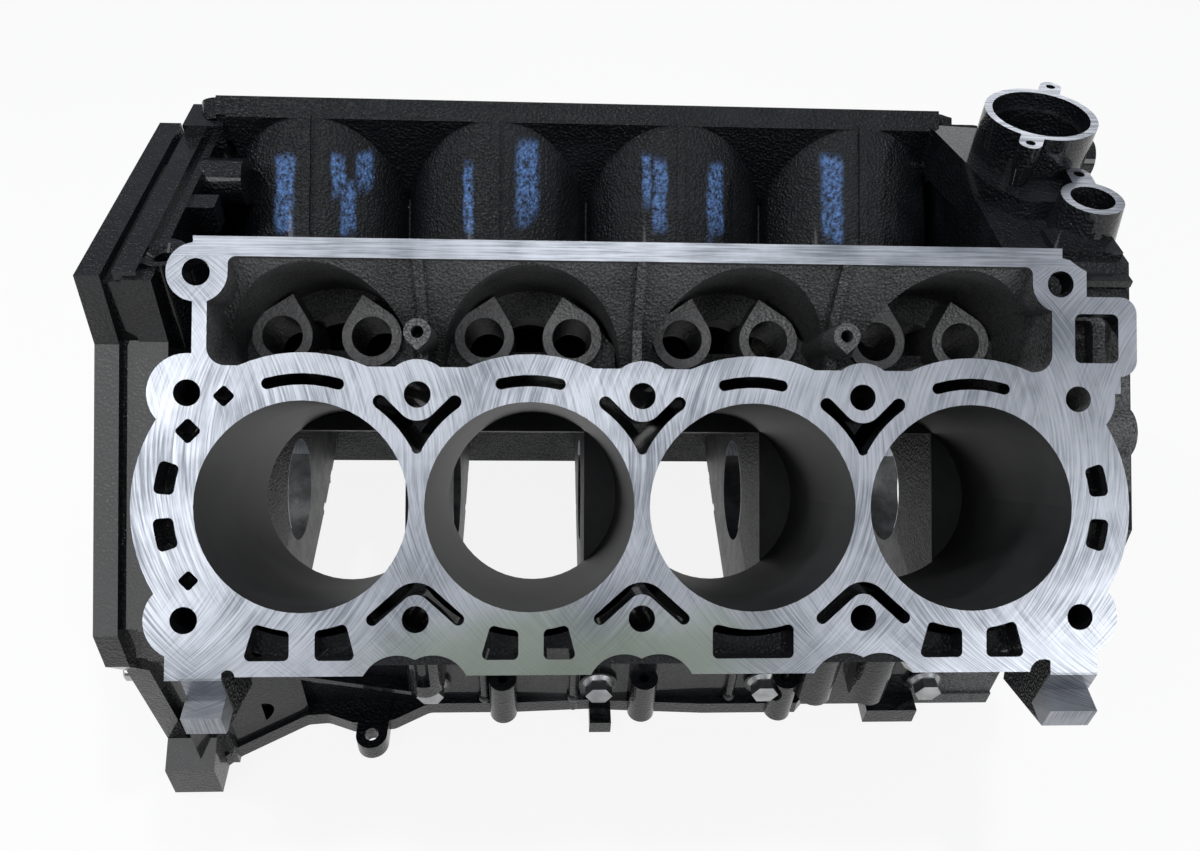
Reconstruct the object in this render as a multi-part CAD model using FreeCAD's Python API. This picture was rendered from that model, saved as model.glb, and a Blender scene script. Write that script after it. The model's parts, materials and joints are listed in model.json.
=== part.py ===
import FreeCAD, Part
import math
import os

V = FreeCAD.Vector
X_AXIS = V(1, 0, 0)
Y_AXIS = V(0, 1, 0)
Z_AXIS = V(0, 0, 1)
ORIGIN = V(0, 0, 0)

# A 90 degree V8 cylinder block with its main caps.  The origin is on the crankshaft axis at the
# middle of the centre main bearing.  +X is the timing end, -X the flywheel end, +Z up.  Bank
# shapes are drawn in a bank frame: x along the crank, u towards the valley, w along the cylinders.

# --- cylinders and banks ---
bore_diameter = 107.2
bore_spacing = 115.0
bore_count = 4
deck_height = 245.0
bank_half_angle = 45.0
bank_stagger = 24.0
cylinder_length = 142.0
cylinder_wall = 5.8
water_gap = 9.4
jacket_depth = 112.0
deck_thickness = 13.0
bank_side_low = -80.0
bank_side_high = 74.0
end_bulge_radius = 84.5
# The outer head bolts stand this far from the middle, and both ends are placed from them.
end_bolt = bore_spacing * bore_count / 2

# --- deck outline ---
deck_low_edge = -85.3
end_lobe_radius = 20.0
rail_width = 10.1
rail_top = 136.5
rail_start = -end_bolt + 2.0
rail_end = end_bolt - 8.0
corner_boss_radius = 15.0
ear_length = end_bolt + 32.0
ear_low = 66.0
ear_high = 111.0

# --- head bolts and deck holes ---
head_bolt_offset = 57.0
head_bolt_hole = 13.6
head_bolt_depth = 70.0
bolt_column_radius = 11.6
corner_hole = 14.0
corner_hole_depth = 30.0

# --- deck openings ---
top_slot_offset = 10.9
top_slot_width = 5.8
vee_wall = 8.6
vee_crown = 54.7
vee_crown_radius = 11.0
vee_arm = (19.0, 53.3)
vee_arm_width = 6.8
vee_tip = 29.6
arch_crown = -52.5
arch_radius = 11.0
arch_width = 6.2
arch_foot = (21.5, -57.0)
water_window_wall = 9.2
water_window_foot = -77.5
water_window_round = 2.8
kidney_wall = 9.9
kidney_width = 10.2
ear_hole = (end_bolt - 1.5, end_bolt + 22.0, 76.0, 102.0)
ear_hole_depth = 34.0

# --- lifter gallery and valley ---
window_left = -end_bolt + 9.3
window_right = end_bolt - 13.8
window_corner = 9.5
rear_corner_hole = (-end_bolt + 3.6, 118.1)
front_corner_hole = (end_bolt - 9.0, 117.6)
gallery_low = 71.0
gallery_arch = 78.0
gallery_hump = 18.0
gallery_floor = 150.0
vault_radius = 60.5
vault_axis = 76.0
vault_shell = 11.0
valley_wall_y = 68.5
valley_wall_inside = 80.0
lifter_bore = 23.0
lifter_half_pitch = 25.3
lifter_shift = -2.5
lifter_boss_radius = 17.0
lifter_boss_top = 175.0
lifter_u = 94.0
lifter_tip = (-5.5, 24.0)
lifter_window = 25.0
lifter_window_low = 88.0
lifter_window_high = 108.7
lifter_window_arc = 23.3
gallery_rib = 5.0
gallery_rib_top = 212.0
gallery_rib_height = 3.0
guide_pads = (-bore_spacing - 0.8, bore_spacing - 7.3)
guide_pad_u = 89.3
guide_pad_radius = 7.0
vault_rib = 4.6
vault_rib_top = 139.0

# --- crankcase ---
main_bore = 74.0
main_width = 25.0
main_count = 5
skirt_inner = 118.0
skirt_wall = 10.0
pan_rail_z = -89.0
pan_rail_thickness = 12.0
sump_tab = (-end_bolt + 75.5, -157.0)
tab_radius = 10.5
tab_hole = 9.2
cap_depth = 72.0

# --- camshaft tunnel ---
cam_height = 125.0
cam_bore = 60.0
cam_bearing_wall = 2.5
cam_barrel_radius = 46.0
cam_space_radius = 36.0

# --- ends ---
rear_face = -end_bolt - 50.0
rear_wall_back = rear_face + 22.0
flange_thickness = 13.0
flange_rim = 20.0
foot_half = 190.0
front_face = end_bolt + 55.0
lifting_eye = (rear_wall_back + 16.0, -57.0)
front_rim = 12.0
seal_bore = 130.0
roof_z = 248.0
bridge_z = 250.0

# --- fasteners and small fitted pieces ---
fit_gap = 0.1
bolt_gap = 0.15
cap_bolt = 12.0
cap_bolt_inner = 50.0
cap_bolt_outer = 86.0
cap_bolt_depth = 45.0
cap_bolt_flange = 24.0
side_bolt = 10.0
side_bolt_z = -56.0
side_bolt_reach = 24.0
side_bolt_flange = 22.0
side_boss = 13.0
side_boss_height = 3.0
socket_places = (-66.0, 31.0, 129.0)
socket_top = -46.0
socket_radius = 9.5
wall_ribs = (-79.0, -17.0, 93.0)
wall_rib_radius = 3.5
pillars = ((-117.0, -44.0), (149.5, -58.0), (187.0, -58.0))
pillar_radius = 12.5
pillar_top = 40.0
core_plug = 38.0
core_plug_level = 190.0
dowel = 13.0
dowel_free = dowel - 0.5
dowel_collar = 0.5
dowel_chamfer = 1.5
flywheel_dowel_seat = 14.0
flywheel_dowel_proud = 12.0
timing_dowel_seat = 12.0
timing_dowel_proud = 8.0
gallery_plug = 16.0
cap_dowel = 16.0
dowel_depth = 8.0

# --- coolant outlet and sensor bosses on the front bridge ---
outlet_place = (end_bolt + 27.0, 39.5)
outlet_top = 288.0
outlet_radius = 33.0
outlet_turn = 62.7
sensor_place = (end_bolt + 41.4, -23.8)
sensor_top = 269.0

bore_radius = bore_diameter / 2
cylinder_outer = bore_radius + cylinder_wall
jacket_outer = cylinder_outer + water_gap
bore_bottom = deck_height - cylinder_length
bore_places = [(i - (bore_count - 1) / 2) * bore_spacing for i in range(bore_count)]
bolt_places = [(i - bore_count / 2) * bore_spacing for i in range(bore_count + 1)]
main_places = [(i - (main_count - 1) / 2) * bore_spacing for i in range(main_count)]
root_half = math.sqrt(0.5)
skirt_outer = skirt_inner + skirt_wall
bay_end = main_places[-1] + main_width / 2
flange_bolt_places = [(side * y, z) for side in (-1, 1)
                      for y, z in ((64.0, 230.0), (118.0, 142.0), (168.0, 84.0), (158.0, -14.0),
                                   (172.0, -74.0))]
flange_dowel_places = [(side * 164.0, 14.0) for side in (-1, 1)]
chest_dowel_places = [(side * 138.0, 30.0) for side in (-1, 1)]
gallery_plug_places = [(side * 48.0, 118.0) for side in (-1, 1)]


def polygon(points):
    wire = Part.makePolygon(points + points[:1])
    return Part.Face(wire)


def prism_x(points, x0, x1):
    return polygon([V(x0, y, z) for y, z in points]).extrude(V(x1 - x0, 0, 0))


def prism_z(points, z0, z1):
    return polygon([V(x, y, z0) for x, y in points]).extrude(V(0, 0, z1 - z0))


def block(x0, x1, y0, y1, z0, z1):
    return Part.makeBox(x1 - x0, y1 - y0, z1 - z0, V(x0, y0, z0))


def post(x, y, z0, z1, radius):
    return Part.makeCylinder(radius, z1 - z0, V(x, y, z0), Z_AXIS)


def slot(start, end, width, z0, z1):
    dx = end[0] - start[0]
    dy = end[1] - start[1]
    length = math.hypot(dx, dy)
    nx = -dy / length * width / 2
    ny = dx / length * width / 2
    strip = prism_z([(start[0] + nx, start[1] + ny), (end[0] + nx, end[1] + ny),
                     (end[0] - nx, end[1] - ny), (start[0] - nx, start[1] - ny)], z0, z1)
    return strip.fuse([post(*start, z0, z1, width / 2), post(*end, z0, z1, width / 2)])


def ring_sector(centre, r0, r1, a0, a1, z0, z1):
    """Part of a ring between two radii and two angles in degrees."""
    middle = V(centre[0], centre[1], z0)
    inner = Part.makeCylinder(r0, z1 - z0, middle, Z_AXIS, a1 - a0)
    outer = Part.makeCylinder(r1, z1 - z0, middle, Z_AXIS, a1 - a0)
    piece = outer.cut(inner)
    piece.rotate(middle, Z_AXIS, a0)
    return piece


def curved_slot(centre, radius, width, a0, a1, z0, z1):
    """A slot with round ends along an arc."""
    piece = ring_sector(centre, radius - width / 2, radius + width / 2, a0, a1, z0, z1)
    ends = [post(centre[0] + radius * math.cos(math.radians(angle)),
                 centre[1] + radius * math.sin(math.radians(angle)), z0, z1, width / 2) for angle in (a0, a1)]
    return piece.fuse(ends)


def round_upright(shape, radius, corners=None):
    """Round the edges of a prism that stand along z: all of them, or those at the corners given."""
    chosen = []
    for edge in shape.Edges:
        start = edge.Vertexes[0].Point
        end = edge.Vertexes[-1].Point
        upright = abs(start.z - end.z) > 0.01 and math.hypot(start.x - end.x, start.y - end.y) < 0.01
        near = corners is None or min(math.hypot(start.x - x, start.y - y) for x, y in corners) < 0.01
        if upright and near:
            chosen.append(edge)
    return shape.makeFillet(radius, chosen)


def teardrop(x, y, radius, tip, z0, z1):
    """A round boss drawn out to a tip along its two tangents."""
    away = math.atan2(tip[1] - y, tip[0] - x)
    spread = math.acos(radius / math.hypot(tip[0] - x, tip[1] - y))
    touch = [(x + radius * math.cos(away + side * spread), y + radius * math.sin(away + side * spread))
             for side in (-1, 1)]
    return post(x, y, z0, z1, radius).fuse(prism_z([touch[0], tip, touch[1], (x, y)], z0, z1))


def mirrored(shape):
    return shape.mirror(ORIGIN, Y_AXIS)


def to_near_bank(shape):
    placed = shape.copy()
    placed.rotate(ORIGIN, X_AXIS, bank_half_angle)
    placed.translate(V(bank_stagger / 2, 0, 0))
    return placed


def to_far_bank(shape):
    placed = mirrored(to_near_bank(shape))
    placed.translate(V(-bank_stagger, 0, 0))
    return placed


def both_banks(shape):
    return [to_near_bank(shape), to_far_bank(shape)]


def both_sides(shape):
    return [shape, mirrored(shape)]


def merge(shapes):
    return shapes[0].multiFuse(shapes[1:]).removeSplitter()


# ---------------------------------------------------------------- deck

def deck_plate():
    z0 = deck_height - deck_thickness
    z1 = deck_height
    end_bore = bore_places[-1]
    corner_x = end_bolt + 9.0
    pieces = [block(-end_bore - 40, end_bore + 40, deck_low_edge, bank_side_high, z0, z1)]
    for side in (-1, 1):
        bulge = post(side * end_bore, 0, z0, z1, end_bulge_radius)
        limit = block(rear_face, front_face, -head_bolt_offset, head_bolt_offset, z0, z1)
        pieces.append(bulge.common(limit))
        for level in (-1, 1):
            pieces.append(post(side * end_bolt, level * head_bolt_offset, z0, z1, end_lobe_radius))
        foot = sorted((side * (end_bore + 40), side * corner_x))
        pieces.append(block(foot[0], foot[1], -87.0, -head_bolt_offset, z0, z1))
        arm = sorted((side * (end_bore + 30), side * end_bolt))
        pieces.append(block(arm[0], arm[1], 40.0, 74.0, z0, z1))
    plate = merge(pieces)
    cuts = []
    for x in bolt_places[1:-1]:
        for hump in (-9.0, 9.0):
            cuts.append(post(x + hump, deck_low_edge - 8.7, z0, z1, 19.0))
    cuts.append(post(-end_bore - 35.5, deck_low_edge, z0, z1, 3.5))
    cuts.append(post(end_bore + 38.0, deck_low_edge - 1, z0, z1, 7.5))
    return plate.cut(cuts)


def gallery_rail():
    """The rail round the lifter window, with its corner bosses and the coolant ear."""
    z0 = deck_height - deck_thickness
    z1 = deck_height
    front_corner = [(rail_end - 20, rail_top), (rail_end - 5, rail_top), (rail_end - 2, 131.8),
                    (rail_end + 4, 130.4), (rail_end + 9.5, 126.4), (rail_end + 13, 124.5),
                    (rail_end + 13, ear_high - 1), (rail_end - 20, ear_high - 1)]
    pieces = [block(rail_start + 6, rail_end - 4, rail_top - rail_width, rail_top, z0, z1),
              block(rail_start, rail_start + 24, 66.0, rail_top - rail_width / 2, z0, z1),
              post(*rear_corner_hole, z0, z1, corner_boss_radius),
              prism_z(front_corner, z0, z1),
              block(rail_end - 20, rail_end + 6, 60.0, 122.0, z0, z1),
              post(ear_length - 9, ear_low + 12, z0, z1, 9.0),
              post(ear_length - 9, ear_high - 9, z0, z1, 9.0),
              block(rail_end - 6, ear_length - 9, ear_low - 6, ear_high, z0, z1),
              block(ear_length - 20, ear_length, ear_low + 12, ear_high - 9, z0, z1)]
    return merge(pieces)


def vee_slot(x, z0, z1):
    """The water slot below an upper head bolt: two arms between the bolt's column and the cylinders."""
    arm_x, arm_u = vee_arm
    half = vee_arm_width / 2
    reach = 6.0
    area = prism_z([(x - arm_x - reach, arm_u - reach), (x - arm_x + reach, arm_u + reach),
                    (x + arm_x - reach, arm_u + reach), (x + arm_x + reach, arm_u - reach),
                    (x + half, vee_tip), (x - half, vee_tip)], z0, z1)
    flank = vee_crown_radius * root_half
    low = vee_crown - flank
    notch = prism_z([(x - flank, low), (x + flank, low), (x + flank + arm_x, low + arm_x),
                     (x - flank - arm_x, low + arm_x)], z0, z1)
    walls = [post(x + side * bore_spacing / 2, 0, z0, z1, bore_radius + vee_wall) for side in (-1, 1)]
    area = area.cut([post(x, vee_crown, z0, z1, vee_crown_radius), notch] + walls)
    ends = [post(x - arm_x, arm_u, z0, z1, half), post(x + arm_x, arm_u, z0, z1, half),
            post(x, vee_tip, z0, z1, half * 0.8)]
    return area.fuse(ends)


def arch_slot(x, z0, z1):
    """The water slot above a lower head bolt: an arch with a straight leg on each side."""
    flank = arch_radius * root_half
    low, high = arch_radius - arch_width / 2, arch_radius + arch_width / 2
    pieces = [ring_sector((x, arch_crown), low, high, 45, 135, z0, z1)]
    for side in (-1, 1):
        pieces.append(slot((x + side * flank, arch_crown + flank), (x + side * arch_foot[0], arch_foot[1]),
                           arch_width, z0, z1))
    return merge(pieces)


def water_windows(index, x, z0, z1):
    """The windows below a cylinder: one wide one at the third, two with slanted sides at the others."""
    at_end = index in (0, bore_count - 1)
    half = 21.8 if at_end else 18.2
    low = water_window_foot
    outlines = [[(x - half, -55), (x - 5.4, -55), (x - 5.4, low), (x - half - 6.5, low)],
                [(x + half, -55), (x + 7.4, -55), (x + 7.4, low), (x + half + 6.0, low)]]
    if index == 2:
        outlines = [[(x - 21, -55), (x + 21, -55), (x + 21, low), (x - 21, low)]]
    round_bore = post(x, 0, z0, z1, bore_radius + water_window_wall)
    return [round_upright(prism_z(outline, z0, z1).cut(round_bore), water_window_round) for outline in outlines]


def deck_holes():
    z0 = deck_height - deck_thickness - 2
    z1 = deck_height + 1
    holes = []
    for index, x in enumerate(bore_places):
        half = 16.0 if index in (0, bore_count - 1) else 13.5
        holes.append(curved_slot((x, 0), bore_radius + top_slot_offset, top_slot_width, 90 - half, 90 + half,
                                 z0, z1))
        holes += water_windows(index, x, z0, z1)
    for x in bolt_places[1:-1]:
        holes.append(vee_slot(x, z0, z1))
        holes.append(arch_slot(x, z0, z1))
    inner = bore_radius + kidney_wall
    for x, middle in ((bore_places[0], 180.0), (bore_places[-1], 0.0)):
        for low in (middle + 5.0, middle - 18.5):
            kidney = ring_sector((x, 0), inner, inner + kidney_width, low, low + 13.5, z0, z1)
            holes.append(round_upright(kidney, water_window_round))
    for x, y, size in ((18.3, 55.5, 5.8), (0.8, 37.8, 6.9), (2.1, -37.2, 5.4)):
        x -= end_bolt
        diamond = prism_z([(x - size, y), (x, y + size), (x + size, y), (x, y - size)], z0, z1)
        holes.append(round_upright(diamond, size / 3.5))
    return holes


def ear_passage():
    """The square coolant passage through the ear."""
    hole = block(*ear_hole, deck_height - ear_hole_depth, deck_height + 1)
    return round_upright(hole, 3.5)


# ---------------------------------------------------------------- one bank, in the bank frame

def bank_solid():
    """The cast body round four cylinders, with its deck, gallery shell and crest ribs."""
    end_bore = bore_places[-1]
    floor = bore_bottom - 4
    top = deck_height - 1
    pieces = [block(-end_bore, end_bore, bank_side_low, bank_side_high, floor, top)]
    for side in (-1, 1):
        end_round = post(side * end_bore, 0, floor, top, end_bulge_radius - 4)
        pieces.append(end_round.common(block(rear_face, front_face, bank_side_low, bank_side_high, floor, top)))
        lobe_gap = sorted((side * end_bore, side * bolt_places[-1]))
        pieces.append(block(lobe_gap[0], lobe_gap[1], -head_bolt_offset - 15, head_bolt_offset + 15,
                            floor, top))
        for level in (-1, 1):
            pieces.append(post(side * end_bolt, level * head_bolt_offset, floor, top, end_lobe_radius - 3))
    return merge(pieces + [deck_plate(), gallery_rail(), gallery_outer()] + vault_ribs())


def gallery_outer():
    """The gallery shell: rail, upright valley wall and one vault over each cylinder's lifters."""
    plane = valley_wall_y / root_half
    side = [(60.0, deck_height), (rail_top, deck_height), (rail_top, rail_top + plane),
            (60.0, 60.0 + plane)]
    wall = prism_x(side, rail_start, rail_end)
    vaults = []
    for x in bore_places:
        vaults.append(post(x, vault_axis, 92.0, deck_height - 2, vault_radius))
    low_side = block(rail_start, rail_end, 20.0, vault_axis + vault_radius, 92.0, deck_height - 2)
    hood = merge(vaults).common(low_side)
    under = prism_x([(30.0, 92.0), (96.0, 92.0), (96.0, 96.0 + plane), (30.0, 30.0 + plane)],
                    rail_start, rail_end)
    return merge([wall, hood, under])


def window_outline(z0, z1):
    """The lifter window as seen square to the deck, which leaves both corner bosses standing."""
    top = rail_top - rail_width
    rear_x, rear_u = rear_corner_hole
    front_x, front_u = front_corner_hole
    rear_flank = rear_x + corner_boss_radius + 0.8
    front_flank = front_x - corner_boss_radius
    area = prism_z([(window_left, gallery_low), (window_right, gallery_low), (window_right, front_u),
                    (front_flank, front_u), (front_flank, top), (rear_flank, top), (rear_flank, rear_u),
                    (window_left, rear_u)], z0, z1)
    area = round_upright(area, window_corner, [(window_left, gallery_low), (window_right, gallery_low)])
    area = round_upright(area, 4.0, [(front_flank, top), (rear_flank, top)])
    return area.cut([post(rear_x, rear_u, z0, z1, corner_boss_radius + 0.8),
                     post(front_x, front_u, z0, z1, corner_boss_radius)])


def gallery_space():
    """The hollow in which the lifters stand, down to the gallery floor."""
    plane = valley_wall_inside / root_half
    inner = rail_top - rail_width
    side = [(gallery_low, deck_height + 1), (inner, deck_height + 1), (inner, inner + plane),
            (gallery_low, gallery_low + plane)]
    spaces = [prism_x(side, window_left, window_right)]
    scoop_top = deck_height - 6
    crop = block(window_left, window_right, gallery_low, rail_top, gallery_floor, scoop_top)
    scoops = [post(x, vault_axis, gallery_floor, scoop_top, vault_radius - vault_shell) for x in bore_places]
    spaces.append(merge(scoops).common(crop))
    space = merge(spaces).common(window_outline(gallery_floor - 1, deck_height + 1))
    keep = []
    for x in bore_places:
        keep.append(post(x, 0, gallery_floor - 1, deck_height, gallery_arch))
        keep.append(window_between(x + lifter_shift, 1.8, gallery_floor - 1, gallery_floor + 2.5))
        for side in (-1, 1):
            keep += lifter_boss(x + lifter_shift, side)
    for x in bolt_places:
        keep.append(post(x, head_bolt_offset, gallery_floor - 1, deck_height, gallery_hump))
    crest = plane + gallery_rib_height / root_half
    strip = [(gallery_low, gallery_low + plane), (inner, inner + plane), (inner, inner + crest),
             (gallery_low, gallery_low + crest)]
    for x in (guide_pads[0], 0.0, guide_pads[1]):
        keep.append(block(x - gallery_rib / 2, x + gallery_rib / 2, gallery_low - 1, 140.0,
                          gallery_floor - 1, gallery_rib_top))
        keep.append(prism_x(strip, x - gallery_rib / 2, x + gallery_rib / 2))
    for x in guide_pads:
        keep.append(teardrop(x, guide_pad_u, guide_pad_radius, (x, guide_pad_u - 9.5), gallery_floor - 1,
                             deck_height - 3))
    return space.cut(keep)


def lifter_boss(middle, side):
    """A boss for one lifter, drawn out to a tip towards the valley, with a shoulder on its outer side."""
    x = middle + side * lifter_half_pitch
    r = lifter_boss_radius
    z0 = gallery_floor - 1
    tip = (x + side * lifter_tip[0], lifter_u + lifter_tip[1])
    low = gallery_low - 4
    shoulder = prism_z([(x + side * r * 0.6, lifter_u + r * 0.75), (x + side * (r + 8), lifter_u - 5),
                        (x + side * (r + 9), low), (x, low)], z0, lifter_boss_top - 4)
    return [teardrop(x, lifter_u, r, tip, z0, lifter_boss_top), shoulder]


def window_between(middle, margin, z0, z1):
    """The opening between two lifters, with a flat foot and an arched top."""
    half = lifter_window / 2 + margin
    area = block(middle - half, middle + half, lifter_window_low - margin, lifter_window_high + margin, z0, z1)
    return area.common(post(middle, lifter_window_high - lifter_window_arc, z0, z1, lifter_window_arc + margin))


def lifter_windows():
    """The openings down to the camshaft, which leave the lifter bosses whole."""
    windows = []
    for x in bore_places:
        middle = x + lifter_shift
        bosses = [post(middle + side * lifter_half_pitch, lifter_u, 100.0, 180.0, lifter_boss_radius)
                  for side in (-1, 1)]
        windows.append(window_between(middle, 0, 112.0, gallery_floor + 5).cut(bosses))
    return windows


def vault_ribs():
    """A thin rib along the crest of each vault."""
    plane = valley_wall_y / root_half
    return [block(x - vault_rib / 2, x + vault_rib / 2, vault_axis, vault_rib_top, 110.0, rail_top + plane)
            for x in bore_places]


def lifter_bores():
    tilt = math.degrees(math.atan2(lifter_u - cam_height * root_half, lifter_boss_top - cam_height * root_half))
    bores = []
    for x in bore_places:
        for side in (-1, 1):
            drill = Part.makeCylinder(lifter_bore / 2, 70.0, ORIGIN, Z_AXIS)
            drill.translate(V(0, 0, -68.0))
            drill.rotate(ORIGIN, X_AXIS, -tilt)
            drill.translate(V(x + lifter_shift + side * lifter_half_pitch, lifter_u, lifter_boss_top))
            bores.append(drill)
    return bores


def water_jacket():
    z1 = deck_height - deck_thickness
    z0 = deck_height - jacket_depth
    outer = merge([post(x, 0, z0, z1, jacket_outer) for x in bore_places])
    outer = outer.common(block(rear_face, front_face, -jacket_outer, jacket_outer - 0.5, z0, z1))
    solid = [post(x, 0, z0, z1, cylinder_outer) for x in bore_places]
    for x in bolt_places:
        for level in (-1, 1):
            solid.append(post(x, level * head_bolt_offset, z0, z1, bolt_column_radius))
    return outer.cut(solid)


def bank_cuts():
    cuts = [post(x, 0, bore_bottom - 2, deck_height + 1, bore_radius) for x in bore_places]
    cuts.append(water_jacket())
    cuts += deck_holes()
    cuts.append(gallery_space())
    cuts += lifter_bores() + lifter_windows()
    cuts.append(ear_passage())
    for x in bolt_places:
        for level in (-1, 1):
            cuts.append(post(x, level * head_bolt_offset, deck_height - head_bolt_depth, deck_height + 1,
                             head_bolt_hole / 2))
    for x, u in (rear_corner_hole, front_corner_hole):
        cuts.append(post(x, u, deck_height - corner_hole_depth, deck_height + 1, corner_hole / 2))
        cuts.append(Part.makeCone(0.5, corner_hole / 2 - 1.2, 8, V(x, u, deck_height - corner_hole_depth - 8),
                                  Z_AXIS))
    for x in guide_pads:
        cuts.append(post(x, guide_pad_u, deck_height - 25, deck_height, 3.3))
    return cuts


# ---------------------------------------------------------------- crankcase and ends

def rear_outline(inset):
    """Half of the flywheel-end flange, from the top centre down to above the foot."""
    i = inset
    return [(0, roof_z - i), (82 - i / 2, roof_z - i), (86 - i, 206 - i / 3), (194 - i, 92 - i / 3),
            (196 - i, 66), (181 - i, 40), (173 - i, -50)]


def front_outline(inset):
    """Half of the timing chest, from the top centre down to the sump rail."""
    i = inset
    return [(0, bridge_z - i), (60 - i / 2, bridge_z - i), (165 - i, 146 - i / 3), (170 - i, 112),
            (150 - i, 50), (126 - i, 0), (126 - i, pan_rail_z)]


def closed_outline(half):
    return half + [(-y, z) for y, z in reversed(half) if y != 0]


def crankcase():
    """Skirt, bulkheads and the wedge between the banks, as one block to be hollowed."""
    low_y = (bank_side_low - bore_bottom) * root_half
    low_z = (bore_bottom + bank_side_low) * root_half
    half = [(0, 165.0), (40.0, 165.0), (-low_y, low_z + 30), (skirt_outer, 14.0), (skirt_outer, pan_rail_z)]
    core = prism_x(closed_outline(half), rear_wall_back, bay_end)
    barrel = Part.makeCylinder(cam_barrel_radius, bay_end - rear_wall_back,
                               V(rear_wall_back, 0, cam_height), X_AXIS)
    return [core, barrel]


def sump_rail():
    """The sump rail: its edge steps in and out along the skirt and flares out to the flange foot."""
    z0 = pan_rail_z
    z1 = pan_rail_z + pan_rail_thickness
    back = rear_wall_back
    edge = [(front_face, skirt_outer), (end_bolt - 82, skirt_outer), (end_bolt - 88, skirt_outer + 6.5),
            (75.0, skirt_outer + 6.5), (-8.0, skirt_outer + 2.5), (-60.0, skirt_outer + 4.5),
            (back + 140, skirt_outer + 4.5), (back + 117, skirt_outer + 17), (back + 90, skirt_outer + 19),
            (back + 71, skirt_outer + 12), (back + 57, skirt_outer + 13), (back + 16, skirt_outer + 36.5),
            (back + 7, skirt_outer + 45), (back, foot_half)]
    plate = prism_z(edge + [(x, -y) for x, y in reversed(edge)], z0, z1)
    bends = [(x, side * y) for x, y in edge[5:12] for side in (-1, 1)]
    pieces = [round_upright(plate, 10.0, bends)]
    wall = [(back + 58, skirt_outer + 9), (back + 16, skirt_outer + 33), (back + 6, skirt_outer + 43),
            (back, foot_half - 6), (back, foot_half - 17), (back + 12, skirt_outer + 29),
            (back + 54, skirt_outer - 4)]
    for side in (-1, 1):
        pieces.append(prism_z([(x, side * y) for x, y in wall], z0, -14.0))
    tab_x, tab_y = sump_tab
    pieces.append(block(tab_x - tab_radius, tab_x + tab_radius, tab_y, -skirt_outer, z0 + 1, z1 + 2))
    pieces.append(post(tab_x, tab_y, z0 + 1, z1 + 2, tab_radius))
    pieces.append(block(-6, 9, -149, -120, z0, z1))
    pieces.append(block(end_bolt - 40, end_bolt - 4, -143, -120, z0, z1 + 3))
    return pieces


def crankcase_space():
    """The bays between the bulkheads, open to the sump and up to the camshaft."""
    half = [(0, 92.0), (34.0, 92.0), (skirt_inner - 74.0, 103.0), (skirt_inner, 28.0),
            (skirt_inner, pan_rail_z - 1)]
    spaces = []
    for left, right in zip(main_places[:-1], main_places[1:]):
        x0 = left + main_width / 2
        x1 = right - main_width / 2
        bay = prism_x(closed_outline(half), x0, x1)
        cam = Part.makeCylinder(cam_space_radius, x1 - x0, V(x0, 0, cam_height), X_AXIS)
        spaces += [bay, cam]
    spaces.append(block(-bay_end, bay_end + 1, -skirt_inner, skirt_inner, pan_rail_z - 1, 0.0))
    return spaces


def rear_end():
    """The flywheel-end wall, and the flange rim that stands behind it with a groove between."""
    rim_front = rear_face + flange_thickness
    wall = prism_x(closed_outline(rear_outline(4.0) + [(169, pan_rail_z)]), rear_wall_back, -bay_end)
    plate = prism_x(closed_outline(rear_outline(0.0) + [(174, pan_rail_z)]), rear_face, rim_front)
    foot = [(150, -40), (173, -50), (foot_half, -61), (foot_half, pan_rail_z), (150, pan_rail_z)]
    feet = [prism_x([(side * y, z) for y, z in foot], rear_face, rear_face + 31) for side in (-1, 1)]
    neck = prism_x(closed_outline(rear_outline(6.0) + [(167, pan_rail_z)]), rim_front - 1, rear_wall_back + 1)
    roof = block(rear_wall_back - 4, rear_wall_back + 8, -78, 78, 205, roof_z)
    eye_boss = post(*lifting_eye, 190.0, roof_z - 2, 13.0)
    stack = block(rear_wall_back - 2, rear_wall_back + 22, 64, 92, 222, 256)
    corner = Part.makeCylinder(14.0, 24.0, V(-bay_end - 2, 40, 232), X_AXIS)
    stub = block(-bay_end - 2, rail_start, -6, 8, 225, 242)
    return [wall, plate, neck, roof, eye_boss, stack, corner, stub] + feet


def rear_space():
    """The flywheel recess inside the flange, the crank seal bore and the lifting-eye hole."""
    hollow = prism_x(closed_outline(rear_outline(flange_rim) + [(173 - flange_rim, pan_rail_z - 1)]),
                     rear_face - 1, rear_wall_back)
    seal = Part.makeCylinder(seal_bore / 2, -bay_end - rear_face + 5, V(rear_face - 5, 0, 0), X_AXIS)
    eye = post(*lifting_eye, roof_z - 32, roof_z, 5.2)
    sink = Part.makeCone(5.2, 9.0, 4.0, V(*lifting_eye, roof_z - 6), Z_AXIS)
    holes = [Part.makeCylinder(5.2, 25, V(rear_face - 1, y, z), X_AXIS) for y, z in flange_bolt_places]
    holes += [Part.makeCylinder(dowel / 2, flywheel_dowel_seat, V(rear_face, y, z), X_AXIS)
              for y, z in flange_dowel_places]
    holes += [Part.makeCylinder(dowel / 2, timing_dowel_seat, V(front_face - timing_dowel_seat, y, z), X_AXIS)
              for y, z in chest_dowel_places]
    holes += [Part.makeCylinder(gallery_plug / 2, 13, V(rear_wall_back, y, z), X_AXIS)
              for y, z in gallery_plug_places]
    return [hollow, seal, eye, sink] + holes


def flange_bosses():
    """Round bolt bosses inside the flywheel-end rim."""
    return [Part.makeCylinder(12.0, rear_wall_back - rear_face + 2, V(rear_face, y, z), X_AXIS)
            for y, z in flange_bolt_places]


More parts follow.
